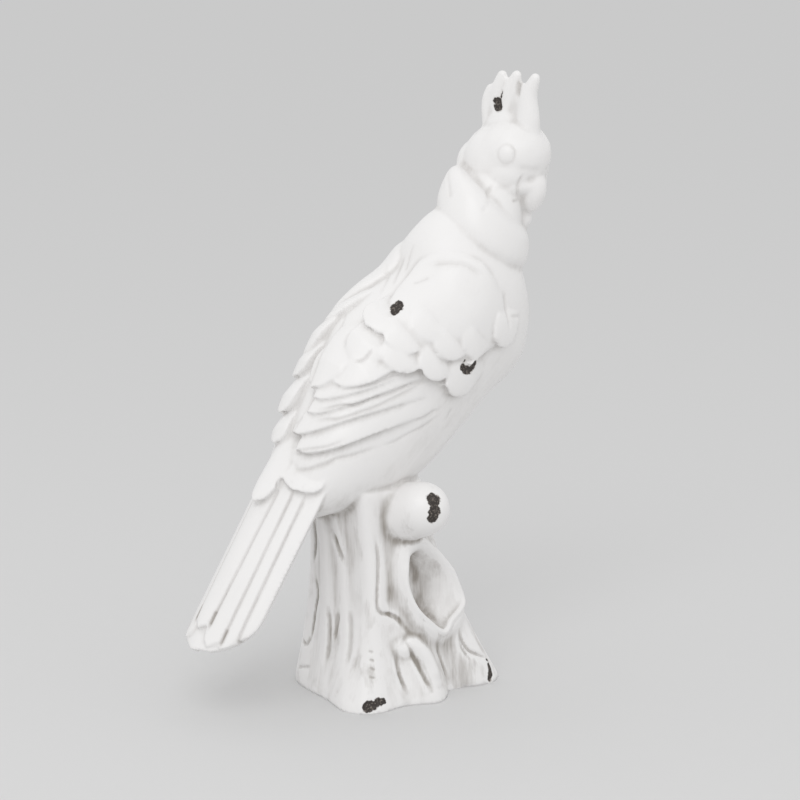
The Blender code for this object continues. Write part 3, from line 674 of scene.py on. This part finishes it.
def evened(line, land, step=0.7 * MM):
    """The line's places landed on the clay and divided into even short steps."""
    path = np.array([land(*through(line, at)) for at in np.linspace(0, 1, 8 * (len(line) - 1) + 1)])
    along = np.concatenate([[0], np.linalg.norm(np.diff(path, axis=0), axis=1).cumsum()])
    even = np.linspace(0, along[-1], max(3, int(along[-1] / step) + 1))
    return np.stack([np.interp(even, along, path[:, k]) for k in range(3)], 1), even / max(along[-1], step)


def near_line(path, reach):
    """Short runs of the path: the clay's points within reach, their distances and the nearest steps."""
    for start in range(0, len(path) - 1, 16):
        run = path[start:start + 17]
        near = np.flatnonzero(((points > run.min(0) - reach) & (points < run.max(0) + reach)).all(1))
        if len(near):
            away = np.linalg.norm(points[near, None] - run[None], axis=2)
            step = away.argmin(1)
            yield near, away[np.arange(len(near)), step], start + step


def draw(line, land, half_width, depth, wash_and_shade_amount, fade=0.2, ridge=False):
    """Draws a groove, or pinches up a ridge, along a line of places, and leaves the wash colour in it; along
    the ruff's rim and the collar's edge this is painted shadow.
    """
    path, share = evened(line, land)
    strength = np.clip(np.minimum(share, 1 - share) / fade, 0.15, 1) if fade else np.ones(len(share))
    for near, away, step in near_line(path, 2 * half_width):
        fall = np.clip(1 - (away / half_width) ** 2, 0, 1) ** 2 * strength[step]
        if ridge:
            raised[near] = np.maximum(raised[near], depth * fall)
        else:
            carved[near] = np.maximum(carved[near], depth * fall)
        spread = np.clip(1 - away / (1.5 * half_width), 0, 1) * strength[step]
        wash_and_shade[near] = np.maximum(wash_and_shade[near], wash_and_shade_amount * spread)


def chip_off(line, land, radii):
    """Knocks the glaze off along a line of places; the radii in mm run with it."""
    path, share = evened(line, land)
    width = np.interp(share, np.linspace(0, 1, len(radii)), radii)
    for near, away, step in near_line(path, 8 * MM):
        chip[near] = np.minimum(chip[near], away / MM - width[step])


# Lines on the bird's skin: half width and depth in mm, wash, then (place up the body, angle) pairs
BODY_LINES = (
    (2.6, 0.9, 0.30, ((.525, 26), (.545, 36), (.56, 46), (.57, 56), (.57, 64), (.565, 75))),
    (2.0, 0.5, 0.20, ((.47, 26), (.485, 30), (.505, 34))),
    (3.0, 0.8, 0.25, ((.575, 98), (.56, 101), (.54, 104), (.51, 110))),
    (1.6, 0.6, 0.35, ((.535, 108), (.54, 112), (.555, 122))),
    (1.6, 0.6, 0.45, ((.275, 93), (.29, 98), (.31, 102), (.325, 106))),
    (1.4, 0.5, 0.35, ((.315, 117), (.33, 115), (.34, 112))),
    (2.0, 1.0, 0.40, ((.365, -9), (.33, 0), (.3, 2), (.275, 4), (.245, 7), (.21, 9), (.18, 10),
        (.15, 10), (.115, 10))),
    (1.8, 0.5, 0.15, ((.505, -22), (.455, -3), (.415, 9))),
    (1.8, 0.5, 0.15, ((.545, -9), (.495, -4), (.45, 9))),
    (1.8, 0.5, 0.15, ((.58, 0), (.535, 0), (.495, 4))),
    (1.3, 0.7, 0.70, ((.28, 32), (.29, 38), (.315, 40))),
    (1.5, 0.7, 0.55, ((.225, 34), (.25, 45), (.275, 53), (.3, 60), (.325, 66))),
    (1.5, 0.8, 0.60, ((.185, 22), (.19, 29), (.21, 40), (.23, 50), (.255, 57), (.28, 66), (.305, 72),
        (.335, 80))),
    (1.5, 0.8, 0.60, ((.165, 24), (.18, 34), (.195, 45), (.22, 54), (.245, 62), (.27, 68), (.3, 75),
        (.335, 82))),
    (1.4, 0.7, 0.55, ((.105, 15), (.11, 24), (.12, 33), (.145, 48), (.175, 58))),
    (1.8, 0.9, 0.75, ((.09, 18), (.085, 26), (.08, 30), (.09, 40), (.1, 46), (.125, 57), (.145, 63),
        (.17, 74), (.19, 81), (.21, 88))),
    (1.6, 0.6, 0.45, ((.21, 88), (.23, 94), (.26, 99), (.285, 104), (.315, 108))),
)
for half_width, depth, wash_and_shade_amount, line in BODY_LINES:
    draw(line, on_skin, half_width * MM, depth * MM, wash_and_shade_amount)
# Lines of the head, (forwards, right, up) in mm: the collar's edge and fold, brow, beak, mouth and nape; the
# heavy wash colour along the collar's edge paints the shadow that its overhang casts on the ruff
HEAD_LINES = (
    (1.5, 1.2, 1.60, ((-21.3, 15.3, 3.4), (-21.2, 15.9, -.7), (-20.1, 16, -6.4), (-13.8, 18.9, -12.4),
        (-4.3, 19.1, -17.8), (3.6, 16.3, -20.6), (9.2, 10.2, -22.6))),
    (2.2, 0.7, 0.25, ((-21.2, 15.8, -.8), (-10.6, 23.4, -6.6), (-4.8, 23.9, -10.4), (1, 23.4, -12.5),
        (10.2, 20.1, -13.9), (15.7, 17.3, -12.5))),
    (3.2, 0.5, 0.10, ((18.8, 18.7, -.9), (23.2, 12, -4.3), (26, 2.1, -4.6))),
    (1.4, 0.7, 0.70, ((21.4, 13.9, -7.2), (19, 15.6, -9.9), (16.5, 15.5, -13.9), (13.1, 11.6, -19.9))),
    (1.0, 0.6, 1.20, ((11.6, 14.7, -18.8), (13.3, 10.6, -20.4))),
    (1.4, 0.5, 0.35, ((-19.3, 12.1, 13.6), (-17.8, 10.5, 16.6), (-15.4, 8.3, 19.9))),
)
for half_width, depth, wash_and_shade_amount, line in HEAD_LINES:
    for side in (-1, 1):
        mirrored = [(forwards, side * right, up) for forwards, right, up in line]
        draw(mirrored, on_face, half_width * MM, depth * MM, wash_and_shade_amount)
for ring in eye_rings:
    draw([(*spot,) for spot in ring], lambda x, y, z: Vector((x, y, z)), 0.9 * MM, 0.8 * MM, 0.80, fade=0)
# The edges of the tail feathers: side at the root, side at the end, and where each ends, in mm
for root_side, end_side, length in ((10, 8, 107), (18.5, 19, 114), (25, 26, 108)):
    for side in (-1, 1):
        edge = [(4 + (length - 4) * t, side * (root_side + (end_side - root_side) * t))
                for t in (0, 0.33, 0.67, 1)]
        draw(edge, on_tail_feathers, 1.1 * MM, 1.0 * MM, 1.0, fade=0.06)
        edge_end = ((length - 16, side * end_side), (length - 3, side * end_side))
        draw(edge_end, on_tail_feathers, 1.3 * MM, 0.6 * MM, 2.4)
# Cracks in the bark, (way in degrees, height in mm)
BARK_LINES = (
    (2.2, 1.6, 0.8, ((162, 110), (161, 96), (158, 82))),
    (2.6, 1.2, 0.8, ((195, 107), (204, 88))),
    (1.8, 1.6, 0.8, ((162, 73), (166, 62), (164, 51), (163, 31))),
    (2.4, 1.2, 0.7, ((150, 28), (158, 27), (163, 34))),
    (2.6, 1.2, 0.8, ((196, 56), (192, 37))),
    (1.6, 1.0, 0.7, ((153, 10), (159, 12), (168, 15))),
    (2.2, 1.6, 0.6, ((241, 107), (241, 91), (234, 62), (243, 56), (249, 53), (257, 44))),
    (1.0, 0.5, 0.08, ((223.5, 36), (226.5, 35))),
    (1.0, 0.5, 0.08, ((223.5, 31), (227, 30))),
    (1.0, 0.5, 0.08, ((223.5, 26), (227, 25))),
    (1.0, 0.5, 0.08, ((223, 21), (226.5, 20))),
    (1.8, 1.4, 0.5, ((242, 33), (242, 20), (245, 8))),
    (1.8, 1.6, 0.8, ((310, 37), (311, 24), (317, 18), (321, 15))),
    (1.4, 1.0, 0.6, ((311, 37), (308, 27), (309, 18))),
    (3.4, 1.2, 0.5, ((184, 60), (187, 40), (186, 20))),
    (3.2, 1.0, 0.4, ((208, 60), (209, 42), (207, 24))),
    (2.0, 1.2, 0.5, ((252, 40), (258, 22), (262, 8))),
    (2.0, 1.2, 0.5, ((285, 30), (288, 18), (290, 8))),
    (2.4, 1.4, 0.6, ((328, 100), (326, 70), (330, 40))),
    (2.2, 1.4, 0.6, ((350, 115), (352, 80), (348, 45), (350, 15))),
    (2.2, 1.4, 0.6, ((10, 105), (6, 75), (2, 45))),
    (2.4, 1.4, 0.6, ((38, 112), (40, 80), (36, 50), (35, 15))),
    (2.0, 1.2, 0.6, ((70, 100), (74, 75), (72, 45), (76, 12))),
    (2.4, 1.4, 0.6, ((90, 112), (88, 70), (90, 40))),
    (2.0, 1.2, 0.6, ((117, 105), (115, 70), (118, 40), (116, 12))),
    (2.0, 1.2, 0.6, ((138, 100), (140, 70), (136, 45))),
)
for half_width, depth, wash_and_shade_amount, line in BARK_LINES:
    draw(line, on_bark, half_width * MM, depth * MM, wash_and_shade_amount)
# The raised root beside the front lobe of the foot, and the sharp lip of the knot hole
draw(((245, 42), (249, 34), (258, 36), (268, 26), (271, 8)), on_bark, 7 * MM, 2.4 * MM, 0, ridge=True)
KNOT_RIM = ((274, 97), (264, 81), (263, 69), (268, 57), (281, 46), (293, 39),
            (304, 45), (320, 55), (322, 65), (322, 76), (318, 84))
draw(KNOT_RIM, on_bark, 2.6 * MM, 1.5 * MM, 0, fade=0.1, ridge=True)
# The scalloped rim of the ruff is undercut, and the heavy wash colour in the groove under it paints the rim's
# shadow
RUFF_RIM_PLACES = (0.0, 0.17, 0.33, 0.5, 0.67, 0.83, 1.0)
for side in (-1, 1):
    ruff_rim = [(side * math.pi * t, 0.0) for t in RUFF_RIM_PLACES]
    draw(ruff_rim, lambda a, t: Vector(on_ruff(a, 0.02)), 1.7 * MM, 1.1 * MM, 1.3, fade=0)

# The chips
# The glaze has been knocked off in a few places, on the wing, on the crest, on the sawn end of the stub and
# at the edge of the foot, and shows the dark, rough body under it in a shallow scar.
CAMERA_AZIMUTH = -35
CAMERA_ELEVATION = 13
azimuth = math.radians(CAMERA_AZIMUTH)
elevation = math.radians(CAMERA_ELEVATION)
towards_viewer = Vector((math.sin(azimuth) * math.cos(elevation), -math.cos(azimuth) * math.cos(elevation),
                         math.sin(elevation)))
stub_axis = (STUB_END - STUB_ROOT).normalized()
stub_side = Vector((stub_axis.y, -stub_axis.x, 0)).normalized() * -1
stub_up = stub_axis.cross(stub_side).normalized()
if stub_up.z < 0:
    stub_up.negate()


def on_crest(forwards, up):
    return landed(in_head(forwards * MM, 0, up * MM) + towards_viewer * 30 * MM, -towards_viewer)


def on_stub(side, up):
    return landed(STUB_END + stub_axis * 40 * MM + stub_side * side * MM + stub_up * up * MM, -stub_axis)


draw(((6.5, 50), (5.5, 45), (4.5, 38)), on_crest, 2.0 * MM, 1.0 * MM, 1.3)
chip_off(((.4126, 32.7), (.410, 32.4)), on_skin, (3.9, 3.7))
chip_off(((.401, 34), (.398, 34)), on_skin, (2.8, 2.4))
chip_off(((.396, 95), (.397, 98), (.402, 101.5)), on_skin, (2.3, 3.0, 2.6))
chip_off(((.402, 101.5), (.4185, 103.5), (.430, 101)), on_skin, (2.4, 1.8, 0.9))
chip_off(((.407, 94), (.4085, 94)), on_skin, (0.9, 0.9))
chip_off(((-10.2, 34.6), (-9.9, 31)), on_crest, (2.9, 3.0))
chip_off(((-12.9, 35.4), (-12.6, 35.2)), on_crest, (1.6, 1.6))
chip_off(((-7.9, 37.1), (-7.2, 41.1)), on_crest, (1.0, 0.5))
chip_off(((-3.6, 5.5), (-3.8, 4.5)), on_stub, (4.3, 4.3))
chip_off(((-4.6, 1), (-6, -5), (-7, -6)), on_stub, (3.2, 4.0, 3.0))
chip_off(((222.5, 4.2), (224, 4.6)), on_bark, (3.8, 3.4))
chip_off(((227, 6.4), (230, 6.8)), on_bark, (2.6, 2.0))
chip_off(((321, 13.5), (321.3, 13.2)), on_bark, (0.9, 0.9))
chip_off(((320, 10.5), (315, 2.5)), on_bark, (1.6, 1.9))

# The wash and the painted shade
# A thin grey-brown wash is brushed over the fired glaze and wiped off again, in long strokes down the stump and
# across
# the belly. Its colour also paints shade: it is laid in every hollow and under every edge, and it is brushed on
# more thickly where the body faces downwards.
ends = np.empty(len(figure.data.edges) * 2, np.int32)
figure.data.edges.foreach_get("vertices", ends)
ends = ends.reshape(-1, 2)
degree = np.bincount(ends.ravel(), minlength=count)


def spread_out(values, times):
    """The values of the clay's points averaged with their neighbours', again and again."""
    for turn in range(times):
        total = np.bincount(ends[:, 0], values[ends[:, 1]], count)
        total = total + np.bincount(ends[:, 1], values[ends[:, 0]], count)
        values = 0.5 * values + 0.5 * total / degree
    return values


points += normals * (raised - carved - 0.5 * MM * np.clip(-chip / 0.7, 0, 1))[:, None]
soft = np.stack([spread_out(points[:, k], 24) for k in range(3)], 1)
broad = np.stack([spread_out(soft[:, k], 90) for k in range(3)], 1)
hollow_small = np.einsum("ij,ij->i", soft - points, normals) / MM
hollow_broad = np.einsum("ij,ij->i", broad - points, normals) / MM
# Painted shade and wash: the hollows, found from how far each point lies under its smoothed neighbours, get the
# wash colour.
hollow_wash_and_shade = np.clip(hollow_small / 0.22 - 0.25, 0, 1) * 0.75 + np.clip(hollow_broad / 1.2 - 0.15, 0, 1) * 0.4
worn = np.clip(-hollow_small / 0.25 - 0.2, 0, 1)
bark = np.clip((135 - points[:, 2] / MM) / 20, 0, 1) * np.clip((points[:, 0] / MM + 80) / 8, 0, 1)
# Painted shade: the lower parts of the figure that face downwards get more of the brushed wash colour.
painted_underside_shade = np.clip(-normals[:, 2] * 1.5, 0, 1) * np.clip((230 - points[:, 2] / MM) / 30, 0, 1)
brush_and_underside_shade = np.maximum(bark, 0.06 + 0.5 * painted_underside_shade)
hollow_wash_and_shade *= 0.26 + 0.4 * bark
wash_and_shade = np.clip(np.maximum(wash_and_shade * (0.4 + 0.25 * bark), spread_out(hollow_wash_and_shade, 2)), 0, 1)
figure.data.vertices.foreach_set("co", points.astype(np.float32).ravel())
for name, values in (("wash_and_shade", wash_and_shade), ("brush_and_underside_shade", brush_and_underside_shade), ("bark", bark), ("chip", chip), ("worn", worn)):
    figure.data.attributes.new(name, "FLOAT", "POINT").data.foreach_set("value", values.astype(np.float32))
figure.data.update()
facets = sum(len(face.vertices) - 2 for face in figure.data.polygons)
apply(figure, "DECIMATE", ratio=min(1.0, FACETS / facets), use_collapse_triangulate=True)

figure.data.transform(Matrix.Translation(MODEL_ORIGIN))
deselect()
figure.select_set(True)
bpy.context.view_layer.objects.active = figure
bpy.ops.object.shade_smooth()
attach(figure, "root")
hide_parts("bird_figurine")

# The glaze
# The clay is fired with a white, softly shining glaze. The brown-grey wash lies over it in streaks and pools,
# and the same colour paints the shade in the hollows, under the edges and on the undersides. The scars of the
# chips are matt and almost black.
GLAZE = (0.9, 0.89, 0.885)
WASH_AND_SHADE = (0.305, 0.275, 0.242)
SCAR = (0.04, 0.033, 0.029)
SCAR_SPECK = (0.22, 0.19, 0.165)


class Wire:
    """A number in a shader: a socket that can be added, multiplied and compared as numbers are."""

    def __init__(self, paint, socket):
        self.paint = paint
        self.socket = socket

    def sum_up(self, operation, *values, clamp=False):
        return self.paint.node("ShaderNodeMath", {"operation": operation, "use_clamp": clamp},
                               dict(enumerate(values)))

    def __add__(self, other):
        return self.sum_up("ADD", self, other)

    __radd__ = __add__

    def __sub__(self, other):
        return self.sum_up("SUBTRACT", self, other)

    def __rsub__(self, other):
        return self.sum_up("SUBTRACT", other, self)

    def __mul__(self, other):
        return self.sum_up("MULTIPLY", self, other)

    __rmul__ = __mul__

    def __truediv__(self, other):
        return self.sum_up("DIVIDE", self, other)

    def __rtruediv__(self, other):
        return self.sum_up("DIVIDE", other, self)

    def __pow__(self, other):
        return self.sum_up("POWER", self, other)

    def most(self, other):
        return self.sum_up("MAXIMUM", self, other)

    def held(self):
        """The number held between 0 and 1."""
        return self.sum_up("ADD", self, 0.0, clamp=True)

    def eased(self, low, high):
        """0 below low, 1 above high and eased between them."""
        return self.paint.node("ShaderNodeMapRange", {"interpolation_type": "SMOOTHSTEP"},
                               {"Value": self, "From Min": low, "From Max": high})


class Paint:
    """A material whose shader is put together node by node."""

    def __init__(self, name):
        self.material = bpy.data.materials.new(name)
        self.material.use_nodes = True
        self.tree = self.material.node_tree
        self.shader = self.tree.nodes["Principled BSDF"]

    def feed(self, socket, value):
        if isinstance(value, Wire):
            self.tree.links.new(value.socket, socket)
        else:
            socket.default_value = value

    def node(self, kind, settings, inputs, output=0):
        """Adds a node, sets its settings first, then its inputs, and gives back one of its outputs."""
        made = self.tree.nodes.new(kind)
        for key, value in settings.items():
            setattr(made, key, value)
        for key, value in inputs.items():
            self.feed(made.inputs[key], value)
        return Wire(self, made.outputs[output])

    def attribute(self, name):
        return self.node("ShaderNodeAttribute", {"attribute_name": name}, {}, "Fac")

    def noise(self, place, scale, detail=4.0, roughness=0.55):
        return self.node("ShaderNodeTexNoise", {},
                         {"Vector": place, "Scale": scale, "Detail": detail, "Roughness": roughness})

    def mapped(self, place, turn=(0, 0, 0), size=(1, 1, 1)):
        return self.node("ShaderNodeMapping", {}, {"Vector": place, "Rotation": turn, "Scale": size})

    def mix(self, share, first, second):
        """The first colour where the share is 0 and the second where it is 1."""
        return self.node("ShaderNodeMix", {"data_type": "RGBA"}, {0: share, 6: first, 7: second}, 2)


glaze = Paint("white_glaze")
place = glaze.node("ShaderNodeTexCoord", {}, {}, "Object")
wash_and_shade_share = glaze.attribute("wash_and_shade")
brush_and_underside_shade_share = glaze.attribute("brush_and_underside_shade")
bark_share = glaze.attribute("bark")
worn_share = glaze.attribute("worn")
chip_distance = glaze.attribute("chip")

# Strokes of a wide dry brush: down the stump, and aslant along the belly
down_stump = glaze.noise(glaze.mapped(place, size=(1, 1, 0.1)), 90.0, 5.0, 0.6)
fine_down = glaze.noise(glaze.mapped(place, size=(1, 1, 0.075)), 400.0, 3.0, 0.6)
aslant = glaze.mapped(glaze.mapped(place, turn=(0, math.radians(-39), 0)), size=(1, 1, 0.12))
down_belly = glaze.noise(aslant, 110.0, 5.0, 0.6)
clouds = glaze.noise(place, 30.0, 4.0)
speckle = glaze.noise(place, 700.0, 3.0, 0.6)
strokes = bark_share * (down_stump * 0.7 + fine_down * 0.3)
strokes = strokes + (1.0 - bark_share) * (down_belly * 0.75 + fine_down * 0.25)
patches = clouds.eased(0.46, 0.62)
# On the stump these strokes are wash; where the body faces downwards they are painted shade.
brushed_wash_and_shade = (strokes.eased(0.4, 0.66) * (0.45 + 0.9 * patches) + patches * 0.25) * brush_and_underside_shade_share
pooled_wash_and_shade = wash_and_shade_share * (0.65 + 0.7 * strokes.eased(0.35, 0.65))
# The share of the wash colour: the real wash, and the painted shade in the hollows, under the edges and on the
# undersides.
wash_and_shade_amount = (pooled_wash_and_shade + brushed_wash_and_shade * 0.36 - worn_share * 0.5 * bark_share).held()
edge = chip_distance + (speckle - 0.5) * 1.2 + (glaze.noise(place, 300.0, 2.0) - 0.5) * 2.8
scar = 1.0 - edge.eased(-0.25, 0.1)
bared = glaze.mix(speckle.eased(0.5, 0.72), (*SCAR, 1), (*SCAR_SPECK, 1))
washed_and_shaded = glaze.mix(wash_and_shade_amount * 0.92, (*GLAZE, 1), (*WASH_AND_SHADE, 1))
rim = 1.0 - edge.eased(0.1, 0.7)
washed_and_shaded = glaze.mix(rim * 0.35, washed_and_shaded, (*WASH_AND_SHADE, 1))
glaze.feed(glaze.shader.inputs["Base Color"], glaze.mix(scar, washed_and_shaded, bared))
glaze.feed(glaze.shader.inputs["Roughness"], 0.32 + 0.16 * wash_and_shade_amount + 0.3 * scar)
glaze.feed(glaze.shader.inputs["Specular IOR Level"], 0.4)
grain = down_stump * bark_share * 0.6 + fine_down * bark_share * 0.3
grain = grain + speckle * (0.05 + 0.8 * scar) + clouds * 0.3
bumps = glaze.node("ShaderNodeBump", {}, {"Strength": 0.25, "Distance": 0.6 * MM, "Height": grain})
glaze.feed(glaze.shader.inputs["Normal"], bumps)
figure.data.materials.clear()
figure.data.materials.append(glaze.material)


# The floor
# The figure stands on a wide, plain table top of one pale grey. It is painted and matt, and it is laid flat
# under the rubbed foot.
FLOOR_SIZE = 24
FLOOR_GREY = 0.7
FLOOR_ROUGHNESS = 0.9
deselect()
bpy.ops.mesh.primitive_plane_add(size=FLOOR_SIZE)
floor = bpy.context.object
floor.name = "floor"
floor_paint = Paint("floor_paint")
floor_paint.feed(floor_paint.shader.inputs["Base Color"], (FLOOR_GREY, FLOOR_GREY, FLOOR_GREY, 1))
floor_paint.feed(floor_paint.shader.inputs["Roughness"], FLOOR_ROUGHNESS)
floor_paint.feed(floor_paint.shader.inputs["Specular IOR Level"], 0.0)
floor.data.materials.append(floor_paint.material)

# The light and the camera
# A bright even room lights the figure from all sides, and one large soft lamp stands at its upper left.
# The camera looks at the right side of the bird from a little above it.
world = bpy.data.worlds.new("studio")
bpy.context.scene.world = world
world.use_nodes = True
world.node_tree.nodes["Background"].inputs["Color"].default_value = (1, 1, 1, 1)
world.node_tree.nodes["Background"].inputs["Strength"].default_value = 0.84
lamp_data = bpy.data.lights.new("softbox", "AREA")
lamp_data.energy = 8
lamp_data.size = 1.2
lamp = bpy.data.objects.new("softbox", lamp_data)
bpy.context.scene.collection.objects.link(lamp)
lamp.location = (-1.0, -1.0, 1.6)
lamp.rotation_mode = "QUATERNION"
lamp.rotation_quaternion = (Vector((0, 0, 0.2)) - lamp.location).to_track_quat("-Z", "Y")

CAMERA_DISTANCE = 1.6
CAMERA_LENS = 116
CAMERA_SENSOR = 36
CAMERA_TARGET = Vector((3 * MM, -2 * MM, 181 * MM))
camera = bpy.data.objects.new("camera", bpy.data.cameras.new("camera"))
bpy.context.scene.collection.objects.link(camera)
camera.data.lens = CAMERA_LENS
camera.data.sensor_width = CAMERA_SENSOR
camera.location = MODEL_ORIGIN + CAMERA_TARGET + towards_viewer * CAMERA_DISTANCE
camera.rotation_mode = "QUATERNION"
camera.rotation_quaternion = (-towards_viewer).to_track_quat("-Z", "Y")
bpy.context.scene.camera = camera
bpy.context.scene.view_settings.view_transform = "Standard"
